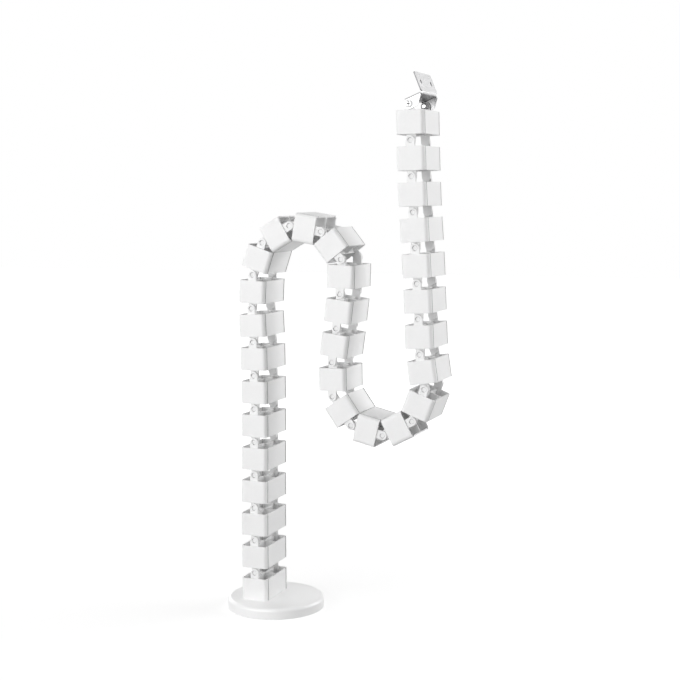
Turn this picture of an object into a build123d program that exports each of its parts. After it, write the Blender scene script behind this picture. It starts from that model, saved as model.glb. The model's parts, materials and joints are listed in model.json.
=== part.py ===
import os
from math import cos, radians, sin, sqrt, tan

from build123d import *

# Sizes in millimetres, angles in degrees.
# X runs to the right in the plane the spine bends in, Y to the back, Z up.
# The origin is the centre of the base's underside.

# Chain
link_width = 35.0           # across the narrow front face
link_depth = 67.0           # from front face to back face
link_height = 28.0
full_bend = 42.6            # degrees each joint turns to either side
stop_margin = 1.0           # degrees left before two links' corners meet
corner_radius = 4.7
wall = 2.0
slit = 1.5                  # cables are pushed in through the slits
slit_setback = 0.5          # from the end of the corner's arc to the slit
divider = 2.0               # cross wall half way back
web = 2.0                   # cross wall from the front ears to the back ears

# Hinge ears
ear_tip_clearance = 1.4     # from an ear's tip to the edge of the next link
ear_thickness = 3.0
ear_root = 9.0              # how far an ear runs down inside its link
ear_gap = 0.3               # between an outer and an inner ear
pin_radius = 3.0
pin_clearance = 0.05
pin_recess = 0.7            # a pin ends below the face of the ear around it

# Each joint's bend as the spine stands, as a share of its full bend.
# Clockwise is positive, from the joint above the first link upwards.
first_column = (0.0, 0.01, 0.01, 0.0, -0.01, -0.01, -0.02, -0.03, 0.12)
first_arch = (0.37, 0.97, 0.93, 0.99, 0.94)
second_column = (0.12, 0.02, -0.2)
second_arch = (-0.8, -0.98, -0.96, -0.97, -0.69)
third_column = (0.13, 0.01, -0.02, -0.02, 0.03, 0.02, 0.01)
bend_shares = first_column + first_arch + second_column + second_arch + third_column

# Base
base_radius = 61.7
base_height = 14.0
base_edge_radius = 4.5
base_top = 2.5              # moulded top over the weight
base_rim = 3.5              # moulded wall around the weight
base_fit = 0.3              # weight and pad to the moulding
spine_offset = 15.5         # first link stands left of the base's centre
pad_thickness = 2.0
foot_screw_radius = 2.0
foot_screw_spacing = 33.0
foot_screw_grip = 9.0
foot_head_radius = 3.8
foot_head_height = 2.4
foot_boss_radius = 4.0
foot_boss_height = 12.0
screw_clearance = 0.1

# Desk bracket, one folded sheet
sheet = 1.5
bracket_tilt = 22.0         # turned anticlockwise from level
bracket_reach = 19.2        # from the pivot to the outer face of the mounting plate
bridge_back = 3.0           # the bridge starts this far behind the pivot
bridge_clearance = 0.3      # from the last link's ears to the underside of the bridge
fold_radius = 1.0           # inside each fold
bracket_ear_radius = 6.0
ear_lower_reach = 9.0       # from the pivot to the foot of an ear's slanted edge
ear_front_height = 2.2      # from the slanted edge's upper end to the bridge
bracket_ear_corner = 4.0
plate_width = 62.0
plate_length = 25.0
plate_corner = 2.5
plate_lower_corner = 4.0
plate_hole_radius = 2.75
plate_hole_spacing = 38.0
relief = 5.0                # how far the notches beside the plate's fold cut in
relief_gap = 0.8            # from the bridge to the plate beside its fold
washer_gap = 0.3            # between the bracket's ears and the last link's

# Pivot screws
pivot_thread_radius = 2.5
pivot_head_radius = 4.6
pivot_head_height = 2.6
pivot_nut_radius = 4.6      # over the corners
pivot_nut_height = 4.0
pivot_end = 1.0             # thread past the nut
drive_length = 5.0
drive_width = 1.1
drive_depth = 1.4

# Worked out from the values above
half_gap = link_width / 2 * tan(radians((full_bend + stop_margin) / 2))
pitch = link_height + 2 * half_gap
ear_width = 2 * (half_gap - ear_tip_clearance)
slit_place = link_depth / 2 - corner_radius - slit_setback - slit / 2
outer_ear_face = link_depth / 2 - wall
inner_ear_face = outer_ear_face - ear_thickness - ear_gap
pin_length = outer_ear_face - pin_recess - inner_ear_face
foot_screw_places = [(0, -foot_screw_spacing / 2), (0, foot_screw_spacing / 2)]

os.makedirs("parts", exist_ok=True)


# Each link's centre and tilt, followed up the chain from the first
link_poses = [(-spine_offset, base_height + link_height / 2, 0.0)]
for share in bend_shares:
    x, z, tilt = link_poses[-1]
    next_tilt = tilt + share * full_bend
    x = x + pitch / 2 * (sin(radians(tilt)) + sin(radians(next_tilt)))
    z = z + pitch / 2 * (cos(radians(tilt)) + cos(radians(next_tilt)))
    link_poses.append((x, z, next_tilt))


def link_plan():
    """Rounded tube with a cross inside and a slit into each of its four cells."""
    RectangleRounded(link_width, link_depth, corner_radius)
    RectangleRounded(
        link_width - 2 * wall,
        link_depth - 2 * wall,
        corner_radius - wall,
        mode=Mode.SUBTRACT,
    )
    Rectangle(link_width - wall, divider)
    Rectangle(web, link_depth - wall)
    with GridLocations(link_width - wall, 2 * slit_place, 2, 2):
        Rectangle(2 * wall, slit, mode=Mode.SUBTRACT)


def ear_outline(reach):
    """An ear around the pivot above or below, with its root inside the link."""
    direction = 1 if reach > 0 else -1
    root = reach - direction * (half_gap + ear_root)
    with Locations((0, reach)):
        Circle(ear_width / 2)
    with Locations((0, (reach + root) / 2)):
        Rectangle(ear_width, abs(reach - root))


# First link: screwed to the base, with bosses where the others have lower ears
with BuildPart() as foot_link:
    with BuildSketch(Plane.XY.offset(-link_height / 2)):
        link_plan()
    extrude(amount=link_height)
    with BuildSketch(Plane.XY.offset(-link_height / 2)):
        with Locations(*foot_screw_places):
            Circle(foot_boss_radius)
    extrude(amount=foot_boss_height)
    for side in (1, -1):
        with BuildSketch(Plane.XZ.offset(side * outer_ear_face)):
            ear_outline(pitch / 2)
            with Locations((0, pitch / 2)):
                Circle(pin_radius + pin_clearance, mode=Mode.SUBTRACT)
        extrude(amount=-side * ear_thickness)
    with BuildSketch(Plane.XY.offset(-link_height / 2)):
        with Locations(*foot_screw_places):
            Circle(foot_screw_radius)
    extrude(amount=foot_screw_grip, mode=Mode.SUBTRACT)

# Every other link: outer ears above, inner ears with outward pins below
with BuildPart() as chain_link:
    with BuildSketch(Plane.XY.offset(-link_height / 2)):
        link_plan()
    extrude(amount=link_height)
    for side in (1, -1):
        with BuildSketch(Plane.XZ.offset(side * outer_ear_face)):
            ear_outline(pitch / 2)
            with Locations((0, pitch / 2)):
                Circle(pin_radius + pin_clearance, mode=Mode.SUBTRACT)
        extrude(amount=-side * ear_thickness)
        with BuildSketch(Plane.XZ.offset(side * inner_ear_face)):
            ear_outline(-pitch / 2)
        extrude(amount=-side * ear_thickness)
        with BuildSketch(Plane.XZ.offset(side * inner_ear_face)):
            with Locations((0, (ear_root - link_height) / 2)):
                Rectangle(ear_width, ear_root)
        extrude(amount=side * (link_depth / 2 - wall / 2 - inner_ear_face))
        with BuildSketch(Plane.XZ.offset(side * inner_ear_face)):
            with Locations((0, -pitch / 2)):
                Circle(pin_radius)
        extrude(amount=side * pin_length)

for number, (x, z, tilt) in enumerate(link_poses, start=1):
    shape = foot_link.part if number == 1 else chain_link.part
    with BuildPart() as link:
        with Locations(Location((x, 0, z), (0, tilt, 0))):
            add(shape)
    link.part.label = f"link_{number:02d}"
    export_step(link.part, f"parts/link_{number:02d}.step")

# Base moulding: a low disc with a rounded edge, hollow from below
with BuildPart() as base_cover:
    Cylinder(base_radius, base_height, align=(Align.CENTER, Align.CENTER, Align.MIN))
    fillet(base_cover.edges().group_by(Axis.Z)[-1], base_edge_radius)
    with BuildSketch():
        Circle(base_radius - base_rim)
    extrude(amount=base_height - base_top, mode=Mode.SUBTRACT)
    with BuildSketch(Plane.XY.offset(base_height - base_top)):
        with Locations((-spine_offset, 0)):
            with Locations(*foot_screw_places):
                Circle(foot_screw_radius + screw_clearance)
    extrude(amount=base_top, mode=Mode.SUBTRACT)
base_cover.part.label = "base_cover"
export_step(base_cover.part, "parts/base_cover.step")

# Steel weight inside the moulding, counterbored from below for the foot screws
weight_radius = base_radius - base_rim - base_fit
weight_top = base_height - base_top
with BuildPart() as base_weight:
    with BuildSketch(Plane.XY.offset(pad_thickness)):
        Circle(weight_radius)
    extrude(amount=weight_top - pad_thickness)
    with BuildSketch(Plane.XY.offset(pad_thickness)):
        with Locations((-spine_offset, 0)):
            with Locations(*foot_screw_places):
                Circle(foot_screw_radius + screw_clearance)
    extrude(amount=weight_top - pad_thickness, mode=Mode.SUBTRACT)
    with BuildSketch(Plane.XY.offset(pad_thickness)):
        with Locations((-spine_offset, 0)):
            with Locations(*foot_screw_places):
                Circle(foot_head_radius + screw_clearance)
    extrude(amount=foot_head_height + screw_clearance, mode=Mode.SUBTRACT)
base_weight.part.label = "base_weight"
export_step(base_weight.part, "parts/base_weight.step")

# Pad that closes the base from below
with BuildPart() as base_pad:
    with BuildSketch():
        Circle(weight_radius)
    extrude(amount=pad_thickness)
base_pad.part.label = "base_pad"
export_step(base_pad.part, "parts/base_pad.step")

# Two screws up through the weight and the moulding into the first link
head_bottom = pad_thickness + screw_clearance
shank_bottom = head_bottom + foot_head_height
for name, place in zip(("front", "back"), foot_screw_places):
    centre = (place[0] - spine_offset, place[1])
    with BuildPart() as foot_screw:
        with BuildSketch(Plane.XY.offset(head_bottom)):
            with Locations(centre):
                Circle(foot_head_radius)
        extrude(amount=foot_head_height)
        with BuildSketch(Plane.XY.offset(shank_bottom)):
            with Locations(centre):
                Circle(foot_screw_radius)
        extrude(amount=base_height + foot_screw_grip - screw_clearance - shank_bottom)
    foot_screw.part.label = f"foot_screw_{name}"
    export_step(foot_screw.part, f"parts/foot_screw_{name}.step")

# The last pivot, which carries the bracket
last_x, last_z, last_tilt = link_poses[-1]
top_pivot = (
    last_x + pitch / 2 * sin(radians(last_tilt)),
    0,
    last_z + pitch / 2 * cos(radians(last_tilt)),
)
bracket_place = Location(top_pivot, (0, -bracket_tilt, 0))

# Desk bracket in its own frame: the pivot at the origin, the bridge level above it
ear_inside = outer_ear_face + washer_gap
ear_outside = ear_inside + sheet
bracket_rise = ear_width / 2 + bridge_clearance
bridge_top = bracket_rise + sheet
outer_fold = fold_radius + sheet
channel_end = bracket_reach - outer_fold
plate_top = bridge_top + plate_length
neck_top = bridge_top + relief_gap + 1.2 * plate_lower_corner
round_end = sqrt(bracket_ear_radius**2 - bridge_back**2)
with BuildPart() as bracket_shape:
    # Bridge and ears, folded to a channel and cut to the ears' outline
    with BuildSketch(Plane.YZ.offset(-bracket_ear_radius)):
        with BuildLine():
            FilletPolyline(
                (-ear_outside, -bracket_ear_radius),
                (-ear_outside, bridge_top),
                (ear_outside, bridge_top),
                (ear_outside, -bracket_ear_radius),
                radius=outer_fold,
            )
            offset(amount=sheet, side=Side.RIGHT)
        make_face()
    extrude(amount=channel_end + bracket_ear_radius)
    with BuildSketch(Plane.XZ) as ear_side:
        with BuildLine():
            Polyline(
                (0, -bracket_ear_radius),
                (ear_lower_reach, -bracket_ear_radius),
                (channel_end, bracket_rise - ear_front_height),
                (channel_end, bridge_top),
                (-bridge_back, bridge_top),
                (-bridge_back, round_end),
            )
            ThreePointArc(
                (-bridge_back, round_end),
                (-bracket_ear_radius, 0),
                (0, -bracket_ear_radius),
            )
        make_face()
        low_right = ear_side.vertices().group_by(Axis.Y)[0].sort_by(Axis.X)[-1:]
        fillet(low_right, bracket_ear_corner)
        Circle(pin_radius + pin_clearance, mode=Mode.SUBTRACT)
    extrude(amount=ear_outside, both=True, mode=Mode.INTERSECT)
    # Mounting plate, folded up on a neck between two notches
    with BuildSketch(Plane.XZ):
        with BuildLine():
            FilletPolyline(
                (channel_end - outer_fold, bracket_rise),
                (bracket_reach, bracket_rise),
                (bracket_reach, neck_top),
                radius=outer_fold,
            )
            offset(amount=sheet, side=Side.LEFT)
        make_face()
    extrude(amount=plate_width / 2 - relief, both=True)
    with BuildSketch(Plane.YZ.offset(bracket_reach)) as plate_face:
        with Locations((0, (bridge_top + relief_gap + plate_top) / 2)):
            Rectangle(plate_width, plate_length - relief_gap)
        fillet(plate_face.vertices().group_by(Axis.Z)[-1], plate_corner)
        fillet(plate_face.vertices().group_by(Axis.Z)[0], plate_lower_corner)
        with Locations((0, bridge_top + plate_length / 2)):
            with GridLocations(plate_hole_spacing, 0, 2, 1):
                Circle(plate_hole_radius, mode=Mode.SUBTRACT)
    extrude(amount=-sheet)
with BuildPart() as desk_bracket:
    with Locations(bracket_place):
        add(bracket_shape.part)
desk_bracket.part.label = "desk_bracket"
export_step(desk_bracket.part, "parts/desk_bracket.step")

# Shoulder screws and nuts on which the bracket turns
nut_face = outer_ear_face - ear_thickness - screw_clearance
for name, side in (("front", 1), ("back", -1)):
    with BuildPart() as pivot_screw:
        with BuildSketch(Plane.XZ.offset(side * (ear_outside + screw_clearance))):
            with Locations((top_pivot[0], top_pivot[2])):
                Circle(pivot_head_radius)
        extrude(amount=side * pivot_head_height)
        outer_rim = pivot_screw.edges().group_by(Axis.Y)[0 if side > 0 else -1]
        chamfer(outer_rim, pivot_head_height / 3)
        with BuildSketch(Plane.XZ.offset(side * (ear_outside + screw_clearance))):
            with Locations((top_pivot[0], top_pivot[2])):
                Circle(pin_radius)
        extrude(amount=-side * (ear_outside + screw_clearance - nut_face))
        with BuildSketch(Plane.XZ.offset(side * nut_face)):
            with Locations((top_pivot[0], top_pivot[2])):
                Circle(pivot_thread_radius)
        extrude(amount=-side * (pivot_nut_height + pivot_end))
        with BuildSketch(Plane.XZ.offset(side * (ear_outside + screw_clearance + pivot_head_height))):
            with Locations((top_pivot[0], top_pivot[2])):
                Rectangle(drive_length, drive_width)
                Rectangle(drive_width, drive_length)
        extrude(amount=-side * drive_depth, mode=Mode.SUBTRACT)
    pivot_screw.part.label = f"pivot_screw_{name}"
    export_step(pivot_screw.part, f"parts/pivot_screw_{name}.step")

    with BuildPart() as pivot_nut:
        with BuildSketch(Plane.XZ.offset(side * nut_face)):
            with Locations((top_pivot[0], top_pivot[2])):
                RegularPolygon(pivot_nut_radius, 6)
                Circle(pivot_thread_radius + screw_clearance / 2, mode=Mode.SUBTRACT)
        extrude(amount=-side * pivot_nut_height)
    pivot_nut.part.label = f"pivot_nut_{name}"
    export_step(pivot_nut.part, f"parts/pivot_nut_{name}.step")
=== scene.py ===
import json
import math

import bmesh
import bpy
import numpy as np
from mathutils import Matrix, Vector


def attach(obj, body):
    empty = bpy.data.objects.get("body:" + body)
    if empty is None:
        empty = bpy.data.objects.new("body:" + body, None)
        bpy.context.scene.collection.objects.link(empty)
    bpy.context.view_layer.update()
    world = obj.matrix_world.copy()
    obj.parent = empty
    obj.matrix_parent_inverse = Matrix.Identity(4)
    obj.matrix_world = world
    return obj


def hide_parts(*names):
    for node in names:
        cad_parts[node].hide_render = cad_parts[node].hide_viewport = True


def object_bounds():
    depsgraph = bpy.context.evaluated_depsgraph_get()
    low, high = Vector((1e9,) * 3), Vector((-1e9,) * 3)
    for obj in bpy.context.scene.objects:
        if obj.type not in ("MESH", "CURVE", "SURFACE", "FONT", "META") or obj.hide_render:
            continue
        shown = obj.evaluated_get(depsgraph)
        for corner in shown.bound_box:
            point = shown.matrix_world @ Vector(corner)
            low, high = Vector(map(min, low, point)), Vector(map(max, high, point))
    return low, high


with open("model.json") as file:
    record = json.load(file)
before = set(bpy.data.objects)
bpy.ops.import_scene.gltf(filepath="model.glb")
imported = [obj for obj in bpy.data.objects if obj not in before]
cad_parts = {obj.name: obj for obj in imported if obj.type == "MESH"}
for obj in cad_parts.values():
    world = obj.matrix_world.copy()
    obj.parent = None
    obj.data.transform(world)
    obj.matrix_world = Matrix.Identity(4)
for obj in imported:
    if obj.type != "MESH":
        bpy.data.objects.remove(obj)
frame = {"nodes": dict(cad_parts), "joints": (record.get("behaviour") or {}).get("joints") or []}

scene = bpy.context.scene
cadLow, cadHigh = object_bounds()
mm = 0.001
joints = {joint["name"]: joint for joint in frame["joints"]}


# Meshes: shapes are worked out in millimetres as arrays, and put in place in metres

crisp = 0.02       # radius of a corner that stays sharp
bury = 1.0         # how far joined shapes run into one another
hair = 0.01        # by some of these the faces of joined shapes stay out of one plane
near = 0.1         # within some of these a face counts as being at its place
sharpFrom = 40     # degrees; flatter edges between faces are shaded smooth


def roundedOutline(corners, radii, steps):
    # Each corner of a closed line becomes an arc, tangent to its two sides. Its centre is one
    # radius from both sides, and the normal turns evenly from one side's to the other's.
    corners = np.asarray(corners, float)
    radii = np.broadcast_to(np.asarray(radii, float), len(corners))
    before = corners - np.roll(corners, 1, axis=0)
    before /= np.linalg.norm(before, axis=1, keepdims=True)
    after = np.roll(before, -1, axis=0)
    cross = before[:, 0] * after[:, 1] - before[:, 1] * after[:, 0]
    turn = np.arctan2(cross, (before * after).sum(axis=1))
    bend = (np.sign(turn) * radii)[:, None]
    firstNormal = np.stack([before[:, 1], -before[:, 0]], axis=1)
    start = corners - before * (radii * np.tan(np.abs(turn) / 2))[:, None]
    centre = start - firstNormal * bend
    angle = turn[:, None] * np.linspace(0, 1, steps + 1)
    c, s = np.cos(angle), np.sin(angle)
    nx, ny = firstNormal[:, :1], firstNormal[:, 1:]
    normals = np.stack([nx * c - ny * s, nx * s + ny * c], axis=-1)
    points = centre[:, None] + normals * bend[:, None]
    return points.reshape(-1, 2), normals.reshape(-1, 2)


def rimRows(low, high, rim, steps):
    # Heights and insets of a wall whose two edges are quarter circles of radius rim.
    t = np.linspace(0, math.pi / 2, steps + 1)
    inset = rim * (1 - np.sin(t))
    lift = rim * (1 - np.cos(t))
    heights = np.concatenate([low + lift, (high - lift)[::-1]])
    return heights, np.concatenate([inset, inset[::-1]])


def carry(points, normals, heights, insets=(0, 0)):
    # The outline is repeated at each height, moved in along its normals by that row's inset.
    flat = points[None] - normals[None] * np.asarray(insets)[:, None, None]
    tall = np.broadcast_to(np.asarray(heights)[:, None, None], flat.shape[:2] + (1,))
    return np.concatenate([flat, tall], axis=2)


def turned(profile, steps):
    # Each (radius, height) of the profile is carried round the vertical axis.
    angle = np.linspace(0, 2 * math.pi, steps, endpoint=False)
    radius, height = np.asarray(profile, float).T
    x = radius[:, None] * np.cos(angle)
    y = radius[:, None] * np.sin(angle)
    return np.stack([x, y, np.broadcast_to(height[:, None], x.shape)], axis=2)


def arc(centre, radius, first, last, steps):
    # Points of an arc from the first angle to the last, in degrees.
    t = np.radians(np.linspace(first, last, steps + 1))
    return np.stack([centre[0] + radius * np.cos(t), centre[1] + radius * np.sin(t)], axis=1)


def gridMesh(name, grid, ring=False):
    # Four-sided faces join each row of the grid to the next; the rows are closed,
    # and the first and last rows get a cap unless they meet in a ring.
    rows, columns = grid.shape[:2]
    index = np.arange(rows * columns).reshape(rows, columns)
    lower = index if ring else index[:-1]
    upper = np.roll(index, -1, axis=0) if ring else index[1:]
    sides = [lower, np.roll(lower, -1, axis=1), np.roll(upper, -1, axis=1), upper]
    faces = np.stack(sides, axis=-1).reshape(-1, 4).tolist()
    if not ring:
        faces += [index[0][::-1].tolist(), index[-1].tolist()]
    mesh = bpy.data.meshes.new(name)
    mesh.from_pydata((grid.reshape(-1, 3) * mm).tolist(), [], faces)
    shell = bmesh.new()
    shell.from_mesh(mesh)
    bmesh.ops.recalc_face_normals(shell, faces=shell.faces)
    shell.to_mesh(mesh)
    shell.free()
    made = bpy.data.objects.new(name, mesh)
    scene.collection.objects.link(made)
    return made


def acrossY(grid):
    # A shape drawn in x and z and raised along y.
    return grid[:, :, [0, 2, 1]]


def acrossX(grid):
    # A shape drawn in y and z and raised along x.
    return grid[:, :, [2, 0, 1]]


def combine(target, others, operation):
    # The others are added to the target, cut from it or intersected with it, and then removed.
    for other in others:
        modifier = target.modifiers.new("combine", "BOOLEAN")
        modifier.operation = operation
        modifier.solver = "EXACT"
        modifier.object = other
    bakeModifiers(target)
    for other in others:
        bpy.data.objects.remove(other)


def bakeModifiers(target):
    # The mesh takes the shape that its modifiers give it.
    ready = target.evaluated_get(bpy.context.evaluated_depsgraph_get())
    mesh = bpy.data.meshes.new_from_object(ready)
    target.modifiers.clear()
    target.data = mesh


def smooth(target, sharpAngle, edge=0.0):
    # Sharp edges may be broken by a small round; then the flat faces set the shading of their edges.
    target.data.polygons.foreach_set("use_smooth", [True] * len(target.data.polygons))
    if edge:
        modifier = target.modifiers.new("edge", "BEVEL")
        modifier.width = edge * mm
        modifier.segments = 2
        modifier.limit_method = "ANGLE"
        modifier.angle_limit = math.radians(sharpAngle)
        bakeModifiers(target)
    target.data.set_sharp_from_angle(angle=math.radians(sharpAngle))
    modifier = target.modifiers.new("shading", "WEIGHTED_NORMAL")
    modifier.keep_sharp = True
    bakeModifiers(target)


def place(target, centre, tilt):
    # The mesh itself is turned clockwise by tilt, seen from the front, and moved.
    turn = Matrix.Rotation(tilt, 4, "Y")
    target.data.transform(Matrix.Translation(Vector(centre)) @ turn)


def faceData(mesh):
    # The middles of all faces in millimetres and their normals, each as rows of x, y and z.
    centres = np.empty(len(mesh.polygons) * 3)
    normals = np.empty(len(mesh.polygons) * 3)
    mesh.polygons.foreach_get("center", centres)
    mesh.polygons.foreach_get("normal", normals)
    return centres.reshape(-1, 3).T / mm, normals.reshape(-1, 3).T


def markFaces(piece, material, marked):
    # The marked faces get this second material.
    piece.data.materials.append(material)
    piece.data.polygons.foreach_set("material_index", marked.astype(np.int32))


def dress(piece, body, slot, material, *nodes):
    # The piece gets its material and body, and stands in for the named CAD nodes. Its slot is not used.
    piece.data.materials.clear()
    piece.data.materials.append(material)
    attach(piece, body)
    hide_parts(*nodes)


# Materials

def newMaterial(name):
    # Every pattern is placed by Object coordinates, in metres.
    material = bpy.data.materials.new(name)
    material.use_nodes = True
    nodes, links = material.node_tree.nodes, material.node_tree.links
    coordinates = nodes.new("ShaderNodeTexCoord")
    return material, nodes, links, nodes["Principled BSDF"], coordinates.outputs["Object"]


def noise(nodes, links, where, scale, detail, stretch=(1, 1, 1)):
    # A cloudy value about one half; scale is its fineness per metre, before the stretch.
    mapping = nodes.new("ShaderNodeMapping")
    mapping.inputs["Scale"].default_value = stretch
    links.new(where, mapping.inputs["Vector"])
    texture = nodes.new("ShaderNodeTexNoise")
    texture.inputs["Scale"].default_value = scale
    texture.inputs["Detail"].default_value = detail
    links.new(mapping.outputs["Vector"], texture.inputs["Vector"])
    return texture.outputs["Fac"]


def spread(nodes, links, value, low, high):
    # The part of a noise from 0.3 to 0.7 is stretched over the range from low to high.
    reach = nodes.new("ShaderNodeMapRange")
    reach.inputs["From Min"].default_value = 0.3
    reach.inputs["From Max"].default_value = 0.7
    reach.inputs["To Min"].default_value = low
    reach.inputs["To Max"].default_value = high
    links.new(value, reach.inputs["Value"])
    return reach.outputs["Result"]


def tint(nodes, links, value, look):
    # The colour goes evenly from dark to light as the value goes from 0 to 1.
    mix = nodes.new("ShaderNodeMix")
    mix.data_type = "RGBA"
    mix.inputs["A"].default_value = (*look["dark"], 1)
    mix.inputs["B"].default_value = (*look["light"], 1)
    links.new(value, mix.inputs["Factor"])
    return mix.outputs["Result"]


def bump(nodes, links, shader, height, relief, before=None):
    # The height, times the relief's metres, tilts the normal, on top of the bump before it.
    node = nodes.new("ShaderNodeBump")
    node.inputs["Strength"].default_value, node.inputs["Distance"].default_value = relief
    links.new(height, node.inputs["Height"])
    if before is not None:
        links.new(before, node.inputs["Normal"])
    links.new(node.outputs["Normal"], shader.inputs["Normal"])
    return node.outputs["Normal"]


# Patterns are so many to the metre; a relief is its strength and its height in metres.
satinPlastic = {
    "dark": (0.89, 0.89, 0.89),
    "light": (0.93, 0.93, 0.93),
    "clouds": 270,
    "roughness": (0.42, 0.54),
    "ior": 1.49,
    "specular": 0.38,
    "grain": 2600,                # the moulded texture
    "grainRelief": (0.35, 0.00003),
    "sink": 45,                   # slow waves of a moulded wall
    "sinkRelief": (0.25, 0.0006),
    "scatter": 0.3,               # thin walls let some light through
    "scatterReach": 0.003,
    "coat": 0.0,
    "coatRoughness": 0.03,
}

# A darker copy of the satin plastic: painted shade for the slits' walls and the rings round the pins.
paintedShadePlastic = {
    **satinPlastic,
    "dark": (0.48, 0.48, 0.48),
    "light": (0.52, 0.52, 0.52),
}

glossyPlastic = {
    **satinPlastic,
    "dark": (0.94, 0.94, 0.94),
    "light": (0.97, 0.97, 0.97),
    "roughness": (0.34, 0.42),
    "specular": 0.6,
    "grainRelief": (0.35, 0.000004),
    "scatter": 0.0,
    "coat": 0.7,
    "coatRoughness": 0.3,
}


def makePlastic(name, look):
    # Slow waves and a fine grain, and clouds that shift the colour and the roughness a little.
    material, nodes, links, shader, where = newMaterial(name)
    slow = noise(nodes, links, where, look["sink"], detail=2)
    fine = noise(nodes, links, where, look["grain"], detail=3)
    clouds = noise(nodes, links, where, look["clouds"], detail=4)
    links.new(tint(nodes, links, clouds, look), shader.inputs["Base Color"])
    links.new(spread(nodes, links, clouds, *look["roughness"]), shader.inputs["Roughness"])
    waves = bump(nodes, links, shader, slow, look["sinkRelief"])
    bump(nodes, links, shader, fine, look["grainRelief"], waves)
    shader.inputs["IOR"].default_value = look["ior"]
    shader.inputs["Specular IOR Level"].default_value = look["specular"]
    shader.inputs["Subsurface Weight"].default_value = look["scatter"]
    shader.inputs["Subsurface Radius"].default_value = (1, 1, 1)
    shader.inputs["Subsurface Scale"].default_value = look["scatterReach"]
    shader.inputs["Coat Weight"].default_value = look["coat"]
    shader.inputs["Coat Roughness"].default_value = look["coatRoughness"]
    return material


brightSheet = {
    "dark": (0.44, 0.44, 0.445),
    "light": (0.49, 0.49, 0.493),
    "spangle": 180,               # patches of the zinc
    "streaks": 900,
    "stretch": (1, 0.04, 1),      # the streaks lie along y
    "roughness": (0.26, 0.34),
    "relief": (0.1, 0.000006),
}

brightFastener = {
    **brightSheet,
    "dark": (0.62, 0.62, 0.625),
    "light": (0.70, 0.70, 0.703),
    "spangle": 500,
    "streaks": 2400,
}

weightDisc = {
    **brightSheet,
    "dark": (0.3, 0.3, 0.31),
    "light": (0.42, 0.42, 0.43),
}

# Near-black steel: painted shade inside the screw head's cross.
recessPaintedShade = {
    **brightSheet,
    "dark": (0.05, 0.05, 0.05),
    "light": (0.07, 0.07, 0.07),
    "spangle": 600,
    "streaks": 1800,
    "roughness": (0.6, 0.64),
}

# A darker steel for the faces across the sheet's thickness and for the nuts: the bare cut edge, with
# painted shade along the edges, in the drilled holes and on the nuts.
cutEdgeAndShade = {
    **recessPaintedShade,
    "dark": (0.22, 0.22, 0.225),
    "light": (0.26, 0.26, 0.265),
    "stretch": (1, 1, 1),
}


def makeSteel(name, look):
    # Streaks set the roughness and a faint relief, and patches set the colour.
    material, nodes, links, shader, where = newMaterial(name)
    streaks = noise(nodes, links, where, look["streaks"], detail=3, stretch=look["stretch"])
    patches = noise(nodes, links, where, look["spangle"], detail=2)
    links.new(tint(nodes, links, patches, look), shader.inputs["Base Color"])
    links.new(spread(nodes, links, streaks, *look["roughness"]), shader.inputs["Roughness"])
    bump(nodes, links, shader, streaks, look["relief"])
    shader.inputs["Metallic"].default_value = 1.0
    return material


foamRubber = {
    "dark": (0.035, 0.035, 0.037),
    "light": (0.06, 0.06, 0.062),
    "clouds": 75,
    "cells": 1500,
    "cellRelief": (0.4, 0.00012),
    "roughness": (0.75, 0.95),
}


def makeRubber(name, look):
    # The distance to the nearest cell's middle gives the relief, and clouds the colour.
    material, nodes, links, shader, where = newMaterial(name)
    cells = nodes.new("ShaderNodeTexVoronoi")
    cells.inputs["Scale"].default_value = look["cells"]
    links.new(where, cells.inputs["Vector"])
    clouds = noise(nodes, links, where, look["clouds"], detail=3)
    links.new(tint(nodes, links, clouds, look), shader.inputs["Base Color"])
    links.new(spread(nodes, links, clouds, *look["roughness"]), shader.inputs["Roughness"])
    bump(nodes, links, shader, cells.outputs["Distance"], look["cellRelief"])
    return material


linkWhite = makePlastic("satinPlastic", satinPlastic)
paintedSlitShade = makePlastic("paintedShadePlastic", paintedShadePlastic)
baseWhite = makePlastic("glossyPlastic", glossyPlastic)
bracketSteel = makeSteel("brightSheet", brightSheet)
cutEdgeShadeSteel = makeSteel("cutEdgeAndShade", cutEdgeAndShade)
fastenerSteel = makeSteel("brightFastener", brightFastener)
recessShadeSteel = makeSteel("paintedShadeRecess", recessPaintedShade)
weightSteel = makeSteel("turnedSteel", weightDisc)
padRubber = makeRubber("foamRubber", foamRubber)
print("materials made")


# Links

link = {
    "width": 35.0,
    "depth": 67.0,
    "height": 28.0,
    "corner": 4.7,
    "wall": 2.0,
    "cross": 2.0,             # thickness of both walls of the cross inside
    "slit": 1.5,
    "slitPlace": 27.55,       # from the middle of the side to the middle of a slit
    "slitEdge": 0.27,         # at least the rim, or its arcs would turn over
    "insideCorner": 0.6,
    "rim": 0.25,
    "pitch": 41.999,          # from pivot to pivot
    "earWidth": 11.2,
    "earThickness": 3.0,
    "earRoot": 9.0,           # how far an ear reaches into the wall
    "earRim": 0.8,
    "earRootCorner": 1.0,
    "earGap": 0.3,            # between an outer ear and the inner one
    "rootCorner": 0.3,
    "pin": 3.0,
    "pinHole": 3.1,
    "holeRim": 0.35,
    "pinRecess": 1.1,         # from the outer ear's face back to the pin's end
    "pinChamfer": 0.3,
    "bossRadius": 4.0,
    "bossHeight": 12.0,
    "bossSpacing": 33.0,
}


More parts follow.
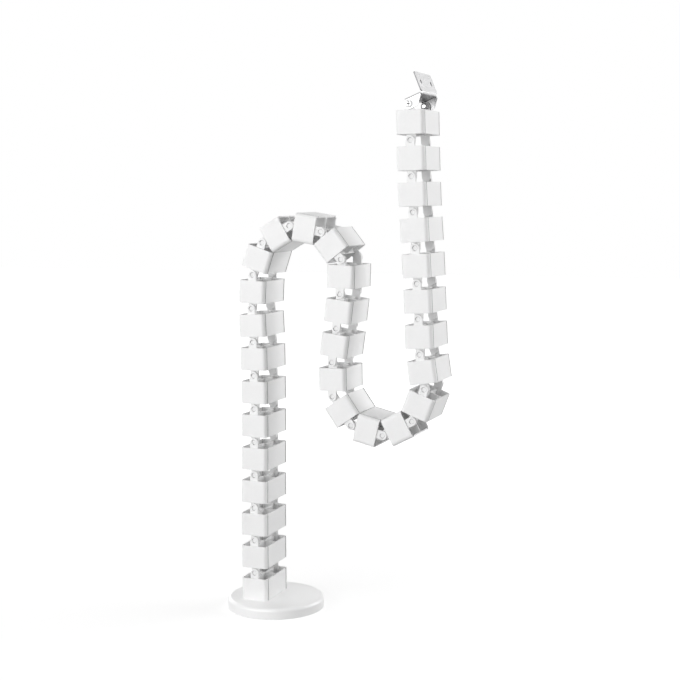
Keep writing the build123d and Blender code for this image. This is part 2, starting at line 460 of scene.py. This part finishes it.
def wallOutline(size):
    # One corner of the plan, from the middle of the right side to the middle of the back,
    # in and out round the two cells' walls, and then its three mirror images.
    w, d = size["width"] / 2, size["depth"] / 2
    wi, di = w - size["wall"], d - size["wall"]
    half = size["cross"] / 2
    low, high = size["slitPlace"] - size["slit"] / 2, size["slitPlace"] + size["slit"] / 2
    corner = np.array([
        (w, low), (wi, low), (wi, half), (half, half), (half, di),
        (wi, di), (wi, high), (w, high), (w, d),
    ])
    edge, inside = size["slitEdge"], size["insideCorner"]
    radii = np.array([
        edge, edge, inside, inside, inside,
        size["corner"] - size["wall"], edge, edge, size["corner"],
    ])
    corners = [corner, (corner * (-1, 1))[::-1], -corner, (corner * (1, -1))[::-1]]
    return np.concatenate(corners), np.concatenate([radii, radii[::-1]] * 2)


def earOutline(size, reach):
    # Straight sides from the root to the pivot, and half a circle round it.
    half = size["earWidth"] / 2
    up = math.copysign(1, reach)
    root = reach - up * (size["pitch"] / 2 - size["height"] / 2 + size["earRoot"])
    end = reach + up * half
    corners = [(-half, root), (half, root), (half, end), (-half, end)]
    radii = [size["earRootCorner"]] * 2 + [half * 0.999] * 2    # the two arcs all but meet
    if reach < 0:
        corners, radii = corners[::-1], radii[::-1]
    return roundedOutline(corners, radii, steps=16)


def earPlate(size, reach, side, outside, holeRadius=0.0):
    # The outline is carried through the ear's thickness, with a quarter circle at both rims.
    points, normals = earOutline(size, reach)
    inside = outside - size["earThickness"]
    outer = carry(points, normals, *rimRows(inside, outside, size["earRim"], steps=4))
    if not holeRadius:
        return gridMesh("ear", acrossY(outer * (1, 1, side)))
    # The hole's rows follow, each of its points in the direction of one of the outline's.
    away = points - (0, reach)
    away /= np.linalg.norm(away, axis=1, keepdims=True)
    circle = away * holeRadius + (0, reach)
    inner = carry(circle, -away, *rimRows(inside, outside, size["holeRim"], steps=2))[::-1]
    grid = np.concatenate([outer, inner]) * (1, 1, side)
    return gridMesh("ear", acrossY(grid), ring=True)


def earRootBlock(size, width, low, high, inside, side):
    # A rectangle with small rounds, raised from inside the ear into the wall.
    corners = [(-width / 2, low), (width / 2, low), (width / 2, high), (-width / 2, high)]
    points, normals = roundedOutline(corners, size["rootCorner"], steps=2)
    outside = size["depth"] / 2 - size["wall"] + bury
    return gridMesh("root", acrossY(carry(points, normals, [inside * side, outside * side])))


def hingePin(size, side, start, end):
    # A cylinder along y at the lower pivot, with a chamfer at its end.
    r, chamfer = size["pin"], size["pinChamfer"]
    grid = acrossY(turned([(r, start), (r, end - chamfer), (r - chamfer, end)], steps=48))
    return gridMesh("pin", grid * (1, side, 1) - (0, 0, size["pitch"] / 2))


def screwBoss(size, side):
    # A cylinder that stands on the link's lower end.
    grid = turned([(size["bossRadius"], 0), (size["bossRadius"], size["bossHeight"])], steps=48)
    return gridMesh("boss", grid + (0, side * size["bossSpacing"] / 2, hair - size["height"] / 2))


def moulding(name, size, standsOnBase):
    # The plan is carried up the height. On both sides an ear rises from inside the wall to half
    # a pitch above the middle. Below, an inner ear with a pin reaches down as far, or a screw
    # boss takes its place on the base.
    points, normals = roundedOutline(*wallOutline(size), steps=6)
    half, reach = size["height"] / 2, size["pitch"] / 2
    walls = gridMesh(name, carry(points, normals, *rimRows(-half, half, size["rim"], steps=3)))
    width, root = size["earWidth"], size["earRoot"]
    outer = size["depth"] / 2 - size["wall"]
    inner = outer - size["earThickness"] - size["earGap"]
    added = []
    for side in (1, -1):
        added.append(earPlate(size, reach, side, outer, size["pinHole"]))
        # An ear and its wall are one moulding, so a root ties them below the wall's edge.
        lowEnd, highEnd = half - root + bury, half - 2 * hair
        added.append(earRootBlock(size, width - bury, lowEnd, highEnd, outer - bury, side))
        if standsOnBase:
            added.append(screwBoss(size, side))
            continue
        added.append(earPlate(size, -reach, side, inner))
        lowEnd, highEnd = hair - half, root - half
        added.append(earRootBlock(size, width - 2 * hair, lowEnd, highEnd, inner - bury / 2, side))
        added.append(hingePin(size, side, inner - bury, outer - size["pinRecess"]))
    combine(walls, added, "UNION")
    smooth(walls, sharpFrom)
    return walls


def paintedShadeFaces(mesh, size):
    # True where shade is painted: across the wall's thickness in a slit, and in the narrow ring between a
    # pin and its hole, both in deep shade. These faces get the darker plastic.
    (x, y, z), (_, ny, _) = faceData(mesh)
    alongY = np.abs(ny)
    inWall = np.abs(x) > size["width"] / 2 - size["wall"] - near
    inSlit = np.abs(np.abs(y) - size["slitPlace"]) < size["slit"] / 2 + near
    fromPivot = np.hypot(x, np.abs(z) - size["pitch"] / 2)
    pinSide = fromPivot > size["pin"] - size["pinChamfer"] - near / 2
    inRing = pinSide & (fromPivot < size["pinHole"] + near) & (alongY < 0.9)
    return inWall & inSlit & (alongY > 0.7) | inRing


footMaster = moulding("footMaster", link, True)
chainMaster = moulding("chainMaster", link, False)
linkCount = sum(node.startswith("link_") for node in frame["nodes"])
pivots = [Vector(joints[f"hinge_{number:02d}"]["pos_m"]) for number in range(1, linkCount)]
pivots.append(Vector(joints["bracket_hinge"]["pos_m"]))
pivots.insert(0, pivots[0] - Vector((0, 0, link["pitch"] * mm)))

for number in range(1, linkCount + 1):
    low, high = pivots[number - 1], pivots[number]
    master = footMaster if number == 1 else chainMaster
    piece = bpy.data.objects.new(f"moulded_link_{number:02d}", master.data.copy())
    scene.collection.objects.link(piece)
    place(piece, (low + high) / 2, math.atan2(high.x - low.x, high.z - low.z))
    body = "base" if number == 1 else f"link_{number:02d}"
    dress(piece, body, "link_plastic", linkWhite, f"link_{number:02d}")
    # The slits' walls and the pins' rings get the darker plastic: painted shade.
    markFaces(piece, paintedSlitShade, paintedShadeFaces(master.data, link))
bpy.data.objects.remove(footMaster)
bpy.data.objects.remove(chainMaster)
print("links made:", linkCount)


# Base

base = {
    "radius": 61.7,
    "height": 14.0,
    "edge": 4.5,
    "foot": 0.6,              # small round where the wall meets the floor
    "rim": 3.5,
    "top": 2.5,
    "middle": 4.0,            # here the turned profile ends, and a wider plug closes the cover
    "plug": 4.5,
    "pad": 2.0,
    "padChamfer": 0.4,
    "gap": 0.3,
}


def coverProfile(size):
    # Up the outside, over the rounded edge to the middle, and back through the hollow below.
    r, h = size["radius"], size["height"]
    ceiling, hollow = h - size["top"], r - size["rim"]
    outside = [
        arc((r - size["foot"], size["foot"]), size["foot"], -90, 0, steps=4),
        arc((r - size["edge"], h - size["edge"]), size["edge"], 0, 90, steps=14),
        [(size["middle"], h)],
    ]
    inside = [(size["middle"], ceiling), (hollow, ceiling), (hollow, 0)]
    return np.concatenate([*outside, inside])


def baseCover(size):
    # The profile turned into a ring, with a disc of the top's thickness in its middle.
    cover = gridMesh("moulded_base_cover", turned(coverProfile(size), steps=192), ring=True)
    disc = [(size["plug"], size["height"] - size["top"]), (size["plug"], size["height"])]
    combine(cover, [gridMesh("plug", turned(disc, steps=96))], "UNION")
    smooth(cover, sharpFrom)
    return cover


def basePad(size):
    # A disc that fits into the cover, with a chamfer below.
    r, chamfer = size["radius"] - size["rim"] - size["gap"], size["padChamfer"]
    profile = [(r - chamfer, 0), (r, chamfer), (r, size["pad"])]
    pad = gridMesh("foam_base_pad", turned(profile, steps=160))
    smooth(pad, sharpFrom)
    return pad


dress(baseCover(base), "base", "base_plastic", baseWhite, "base_cover")
dress(basePad(base), "base", "pad_rubber", padRubber, "base_pad")
print("base made")


# Desk bracket

bracket = {
    "sheet": 1.5,
    "fold": 1.0,              # inside radius
    "earRadius": 6.0,
    "earLowerReach": 9.0,     # from the pivot to the foot of an ear's slanted edge
    "earFrontHeight": 2.2,    # from the slanted edge's upper end to the bridge
    "earCorner": 4.0,
    "bridgeBack": 3.0,
    "reach": 19.2,
    "rise": 5.9,
    "earInside": 31.8,
    "plateWidth": 62.0,
    "plateLength": 25.0,
    "plateCorner": 2.5,
    "plateLowerCorner": 4.0,
    "neckRise": 4.8,          # how far the neck reaches up behind the plate's lower edge
    "relief": 5.0,            # how far the notches beside the plate's fold cut in
    "reliefGap": 0.8,
    "hole": 2.75,
    "holeSpacing": 38.0,
    "pivotHole": 3.05,
    "tilt": math.radians(-22),
    "edge": 0.15,
}


def foldedStrip(outer, inner, thickness, fold):
    # The outer side of the strip is rounded by fold plus thickness, the inner side by fold.
    corners = np.concatenate([np.asarray(outer, float), np.asarray(inner, float)[::-1]])
    bends = len(outer) - 2
    radii = [crisp] + [fold + thickness] * bends + [crisp] * 2 + [fold] * bends + [crisp]
    return roundedOutline(corners, radii, steps=8)[0]


def prism(name, points, low, high, across):
    # The line is repeated, unchanged, at both ends.
    return gridMesh(name, across(carry(points, 0 * points, [low, high])))


def earSide(size, front, top):
    # A round end about the pivot, a level foot, a rounded corner and a slanted edge up to the bridge.
    r, back, steps = size["earRadius"], size["bridgeBack"], 12
    upper = (front, size["rise"] - size["earFrontHeight"])
    roundEnd = arc((0, 0), r, 180 - math.degrees(math.acos(back / r)), 270, steps=24)
    corners = [(0, -r), (size["earLowerReach"], -r), upper, (0, top)]
    slant, _ = roundedOutline(corners, [crisp, size["earCorner"], crisp, crisp], steps)
    roundCorner = slant[steps + 1:2 * (steps + 1)]
    return np.concatenate([roundEnd, roundCorner, [upper, (front, top), (-back, top)]])


def bracketPiece(size):
    # A channel across the spine, whose legs are cut to the ears' outline and drilled; a neck
    # bent up at its end, narrower than the plate by the notches; and the drilled plate.
    t, top = size["sheet"], size["rise"] + size["sheet"]
    low, reach = -size["earRadius"], size["reach"]
    ins, out = size["earInside"], size["earInside"] + t
    front = reach - size["fold"] - t
    outer = [(-out, low), (-out, top), (out, top), (out, low)]
    inner = [(-ins, low), (-ins, top - t), (ins, top - t), (ins, low)]
    channel = prism("sheet_bracket", foldedStrip(outer, inner, t, size["fold"]), low, front, acrossX)
    ears = prism("ears", earSide(size, front, top), -out - bury, out + bury, acrossY)
    combine(channel, [ears], "INTERSECT")
    drill = [(size["pivotHole"], -out - bury), (size["pivotHole"], out + bury)]
    combine(channel, [gridMesh("pivotHoles", acrossY(turned(drill, steps=48)))], "DIFFERENCE")

    plateTop, plateLow = top + size["plateLength"], top + size["reliefGap"]
    tail, neckTop = front - size["fold"] - t, plateLow + size["neckRise"]
    outer = [(tail, top - t), (reach, top - t), (reach, neckTop)]
    inner = [(tail, top), (reach - t, top), (reach - t, neckTop)]
    half = size["plateWidth"] / 2
    neckHalf = half - size["relief"]
    neck = prism("neck", foldedStrip(outer, inner, t, size["fold"]), -neckHalf, neckHalf, acrossY)
    corners = [(-half, plateLow), (half, plateLow), (half, plateTop), (-half, plateTop)]
    radii = np.repeat([size["plateLowerCorner"], size["plateCorner"]], 2)
    plate = prism("plate", roundedOutline(corners, radii, steps=8)[0], reach - t, reach, acrossX)
    holes = []
    for side in (1, -1):
        grid = acrossX(turned([(size["hole"], reach - 2 * t), (size["hole"], reach + t)], steps=40))
        middle = (0, side * size["holeSpacing"] / 2, top + size["plateLength"] / 2)
        holes.append(gridMesh("hole", grid + middle))
    combine(plate, holes, "DIFFERENCE")
    combine(channel, [neck, plate], "UNION")
    smooth(channel, sharpFrom, size["edge"])
    return channel


def cutEdgeShadeFaces(mesh, size):
    # True across the sheet's thickness: on the ears where a face doesn't look to the front or back, on
    # the plate where it doesn't look along the bridge, and at the bridge's free edge. The darker steel
    # there is the bare cut edge, with painted shade in the drilled holes and along the edges.
    (x, _, z), normals = faceData(mesh)
    alongX, alongY, _ = np.abs(normals)
    ears = (z < size["rise"] - size["fold"]) & (alongY < 0.5)
    plate = (z > size["rise"] + size["sheet"] + size["reliefGap"]) & (alongX < 0.5)
    bridge = (x < 3 * near - size["bridgeBack"]) & (alongX > 0.8)
    return ears | plate | bridge


topPivot = pivots[-1]
deskBracket = bracketPiece(bracket)
dress(deskBracket, "bracket", "bracket_steel", bracketSteel, "desk_bracket")
# The cut faces get the darker steel: bare cut edges, and painted shade in the holes and along the edges.
markFaces(deskBracket, cutEdgeShadeSteel, cutEdgeShadeFaces(deskBracket.data, bracket))
place(deskBracket, topPivot, bracket["tilt"])
print("bracket made")


# Pivot screws and nuts

screw = {
    "headRadius": 4.6,
    "headHeight": 2.6,
    "headSide": 0.7,          # up to where the dome begins
    "headChamfer": (0.25, 0.2),    # inwards and upwards
    "headFace": 33.4,         # its bearing face, from the middle of the spine
    "headSharpFrom": 32,
    "driveLength": 5.6,
    "driveWidth": 1.5,
    "driveDepth": 1.5,
    "driveCorner": 0.12,
    "driveFloor": 0.62,       # its size, against the mouth's
    "shoulder": 3.0,
    "thread": 2.5,
    "threadPitch": 0.8,
    "threadDepth": 0.45,
    "threadEnd": 1.0,         # beyond the nut
    "threadTaper": (0.6, 0.35),    # its length and its depth
}

nut = {
    "face": 28.4,             # its outer face, from the middle of the spine
    "height": 4.0,
    "radius": 4.6,            # to its corners
    "chamferRadius": 3.9,
    "chamferSlope": 1.8,
    "chamferRows": (0, 0.12, 0.24, 0.4, 0.6),
    "bore": 2.55,
    "mouth": 2.85,
    "mouthDepth": 0.3,
    "sharpFrom": 25,
}


def headGrid(size):
    # A flat bearing face, a short side and a dome, which is most of a quarter of an ellipse.
    r, side = size["headRadius"], size["headSide"]
    t = np.radians(np.linspace(0, 84, 13))
    dome = np.stack([r * np.cos(t), side + (size["headHeight"] - side) * np.sin(t)], axis=1)
    chamferIn, chamferUp = size["headChamfer"]
    return turned(np.concatenate([[(r - chamferIn, 0), (r, chamferUp)], dome]), steps=64)


def threadGrid(size, length):
    # The radius falls and rises once in each pitch, the ridge climbs one pitch in a turn,
    # and the end tapers. Eight rows make a pitch.
    pitch = size["threadPitch"]
    height = np.linspace(0, length, int(length / pitch * 8))[:, None]
    angle = np.linspace(0, 2 * math.pi, 40, endpoint=False)[None]
    phase = (height / pitch - angle / (2 * math.pi)) % 1
    taperLength, taperDepth = size["threadTaper"]
    taper = np.clip((length - height) / taperLength, 0, 1)
    radius = size["thread"] - size["threadDepth"] * (1 - np.abs(2 * phase - 1)) - taperDepth * (1 - taper)
    return np.stack([radius * np.cos(angle), radius * np.sin(angle), height + 0 * angle], axis=2)


def nutGrid(size):
    # The radius of a hexagon in each direction, cut down by a cone at both faces, round a plain bore.
    angle = np.linspace(0, 2 * math.pi, 96, endpoint=False)
    flat = size["radius"] * math.cos(math.pi / 6)
    hexagon = flat / np.cos((angle + math.pi / 6) % (math.pi / 3) - math.pi / 6)
    h, depth = size["height"], size["mouthDepth"]
    rows = np.array(size["chamferRows"])
    heights = np.concatenate([rows, (h - rows)[::-1]])
    cone = size["chamferRadius"] + np.minimum(heights, h - heights) * size["chamferSlope"]
    outside = np.minimum(hexagon[None], cone[:, None])
    bore = np.array([size["mouth"], size["bore"], size["bore"], size["mouth"]])
    radius = np.concatenate([outside, bore[:, None] + 0 * angle])
    tall = np.concatenate([heights, [h, h - depth, depth, 0]])[:, None] + 0 * angle
    return np.stack([radius * np.cos(angle), radius * np.sin(angle), tall], axis=2)


def crossGrid(size):
    # A quarter of a cross, turned three times, that narrows with depth.
    long, wide = size["driveLength"] / 2, size["driveWidth"] / 2
    quarter = np.array([(long, -wide), (long, wide), (wide, wide)])
    turns = [np.array([[0, 1], [-1, 0]]), -np.eye(2), np.array([[0, -1], [1, 0]])]
    corners = np.concatenate([quarter] + [quarter @ turn for turn in turns])
    points, normals = roundedOutline(corners, size["driveCorner"], steps=3)
    grid = carry(points, normals, [0, size["driveDepth"] + bury])
    grid[0, :, :2] *= size["driveFloor"]
    return grid + (0, 0, size["headHeight"] - size["driveDepth"])


def paintedRecessFaces(mesh, size):
    # True inside the cross: on its steep walls and its floor, which get the near-black steel as painted
    # shade.
    (x, y, z), (_, _, nz) = faceData(mesh)
    inside = (np.hypot(x, y) < size["driveLength"] / 2 + near) & (z > near)
    deep = (nz < 0.6) | (z < size["headHeight"] - size["driveDepth"] + 2 * near)
    return inside & deep


def pivotScrew(name, size, grip, nutHeight):
    # A head with its cross looks up from its bearing face, a shoulder as long as the grip
    # goes down from there, and the thread follows it.
    head = gridMesh(name, headGrid(size))
    combine(head, [gridMesh("drive", crossGrid(size))], "DIFFERENCE")
    shoulderRows = turned([(size["shoulder"], -grip), (size["shoulder"], 10 * hair)], steps=48)
    threadRows = threadGrid(size, nutHeight + size["threadEnd"]) * (1, -1, -1)
    thread = gridMesh("thread", threadRows - (0, 0, grip - 5 * hair))
    combine(head, [gridMesh("shoulder", shoulderRows), thread], "UNION")
    smooth(head, size["headSharpFrom"])
    return head


for name, side in (("front", -1), ("back", 1)):
    outward = Matrix.Rotation(math.radians(-90 * side), 4, "X")
    head = pivotScrew(f"pan_screw_{name}", screw, screw["headFace"] - nut["face"], nut["height"])
    dress(head, "link_30", "fastener_steel", fastenerSteel, f"pivot_screw_{name}")
    # The cross gets the near-black steel: painted shade.
    markFaces(head, recessShadeSteel, paintedRecessFaces(head.data, screw))
    headPlace = topPivot + Vector((0, side * screw["headFace"] * mm, 0))
    head.data.transform(Matrix.Translation(headPlace) @ outward)

    hexNut = gridMesh(f"hex_nut_{name}", nutGrid(nut), ring=True)
    smooth(hexNut, nut["sharpFrom"])
    # The nut takes the darker steel rather than the screw's: painted shade, as it sits deep between the
    # ears.
    dress(hexNut, "link_30", "fastener_steel", cutEdgeShadeSteel, f"pivot_nut_{name}")
    nutPlace = topPivot + Vector((0, side * (nut["face"] - nut["height"]) * mm, 0))
    hexNut.data.transform(Matrix.Translation(nutPlace) @ outward)
print("screws and nuts made")

# The weight and the foot screws are shown as their CAD nodes, in these finishes.
hidden = {"base_weight": weightSteel, "foot_screw_front": fastenerSteel, "foot_screw_back": fastenerSteel}
for node, material in hidden.items():
    cadPiece = frame["nodes"][node]
    cadPiece.data.materials.clear()
    cadPiece.data.materials.append(material)


# Floor, light and camera

studio = {
    "floorSize": 14.0,
    "floorColor": 0.50,
    "floorRoughness": 0.9,
    "floorSpecular": 0.1,
    "floorWhite": (0.64, 1.0),    # added for the camera and in reflections, at the base and far away
    "floorReach": (0.35, 1.5),    # metres from the base's middle between which that changes
    "world": 0.15,                # the white surroundings, as light on the object
    "lamps": {                    # power in watts, width and height, and place, in metres
        "key": (49.0, (3.0, 1.4), (-0.6, -2.25, 0.8)),
        "fill": (36.5, (2.0, 1.6), (1.85, 1.4, 0.95)),
        "overhead": (9.0, (1.5, 1.5), (0.1, -0.2, 2.4)),
        "back": (14.0, (2.0, 1.6), (-2.0, 1.5, 0.9)),
    },
}


def seenDirectly(nodes, links):
    # One for the camera, in reflections and through glass; otherwise nothing.
    path = nodes.new("ShaderNodeLightPath")
    seen = path.outputs["Is Camera Ray"]
    for other in ("Is Glossy Ray", "Is Transmission Ray"):
        either = nodes.new("ShaderNodeMath")
        either.operation = "MAXIMUM"
        links.new(seen, either.inputs[0])
        links.new(path.outputs[other], either.inputs[1])
        seen = either.outputs[0]
    return seen


def fadeOut(nodes, links, where, reach, values):
    # From the first value to the second as the distance grows from the first reach to the second.
    distance = nodes.new("ShaderNodeVectorMath")
    distance.operation = "LENGTH"
    links.new(where, distance.inputs[0])
    change = nodes.new("ShaderNodeMapRange")
    change.interpolation_type = "SMOOTHSTEP"
    change.inputs["From Min"].default_value, change.inputs["From Max"].default_value = reach
    change.inputs["To Min"].default_value, change.inputs["To Max"].default_value = values
    links.new(distance.outputs["Value"], change.inputs["Value"])
    return change.outputs["Result"]


def makeFloor(size):
    # A square under the base, white where it is seen directly, but grey under the lamps' light,
    # so that the object's shadow shows on it.
    half = size["floorSize"] / 2
    corners = [(-half, -half, 0), (half, -half, 0), (half, half, 0), (-half, half, 0)]
    mesh = bpy.data.meshes.new("floor")
    mesh.from_pydata(corners, [], [(0, 1, 2, 3)])
    floor = bpy.data.objects.new("floor", mesh)
    scene.collection.objects.link(floor)
    material, nodes, links, shader, where = newMaterial("paleFloor")
    shader.inputs["Base Color"].default_value = (size["floorColor"],) * 3 + (1,)
    shader.inputs["Roughness"].default_value = size["floorRoughness"]
    shader.inputs["Specular IOR Level"].default_value = size["floorSpecular"]
    shader.inputs["Emission Color"].default_value = (1, 1, 1, 1)
    glow = nodes.new("ShaderNodeMath")
    glow.operation = "MULTIPLY"
    links.new(seenDirectly(nodes, links), glow.inputs[0])
    links.new(fadeOut(nodes, links, where, size["floorReach"], size["floorWhite"]), glow.inputs[1])
    links.new(glow.outputs[0], shader.inputs["Emission Strength"])
    mesh.materials.append(material)


def makeWorld(size):
    # White where it is seen directly, and weak as light on the object.
    world = bpy.data.worlds.new("studioWorld")
    scene.world = world
    world.use_nodes = True
    nodes, links = world.node_tree.nodes, world.node_tree.links
    background = nodes["Background"]
    background.inputs["Color"].default_value = (1, 1, 1, 1)
    strength = nodes.new("ShaderNodeMix")
    strength.inputs["A"].default_value = size["world"]
    strength.inputs["B"].default_value = 1.0
    links.new(seenDirectly(nodes, links), strength.inputs["Factor"])
    links.new(strength.outputs["Result"], background.inputs["Strength"])


def areaLight(name, place, aim, power, size):
    # A rectangle of light at its place, turned to face the aim.
    light = bpy.data.lights.new(name, "AREA")
    light.shape = "RECTANGLE"
    light.size, light.size_y = size
    light.energy = power
    lamp = bpy.data.objects.new(name, light)
    scene.collection.objects.link(lamp)
    lamp.location = place
    lamp.rotation_euler = (Vector(aim) - Vector(place)).to_track_quat("-Z", "Y").to_euler()


makeFloor(studio)
makeWorld(studio)
for name, (power, face, lampPlace) in studio["lamps"].items():
    areaLight(name, lampPlace, (cadLow + cadHigh) / 2, power, face)

camera = {
    "place": (0.6929, -1.5301, 0.5218),
    "turn": math.radians(21.50),       # to the left of straight back
    "down": math.radians(6.383),
    "roll": math.radians(0.289),
    "lens": 70.87,
    "sensor": 36.0,
    "shiftY": 0.0103,
    "clipStart": 0.01,
}


def makeCamera(size):
    # Forward goes left by turn and down by down, and roll turns right and up about it.
    turn, down, roll = size["turn"], size["down"], size["roll"]
    forward = Vector((-math.sin(turn) * math.cos(down), math.cos(turn) * math.cos(down), -math.sin(down)))
    right = Vector((math.cos(turn), math.sin(turn), 0))
    up = right.cross(forward)
    rolledRight = right * math.cos(roll) - up * math.sin(roll)
    rolledUp = right * math.sin(roll) + up * math.cos(roll)
    lens = bpy.data.cameras.new("camera")
    lens.lens = size["lens"]
    lens.sensor_width = size["sensor"]
    lens.shift_y = size["shiftY"]
    lens.clip_start = size["clipStart"]
    eye = bpy.data.objects.new("camera", lens)
    scene.collection.objects.link(eye)
    axes = Matrix((rolledRight, rolledUp, -forward)).transposed().to_4x4()
    eye.matrix_world = Matrix.Translation(Vector(size["place"])) @ axes
    scene.camera = eye


makeCamera(camera)
scene.view_settings.view_transform = "Standard"
print("studio made")
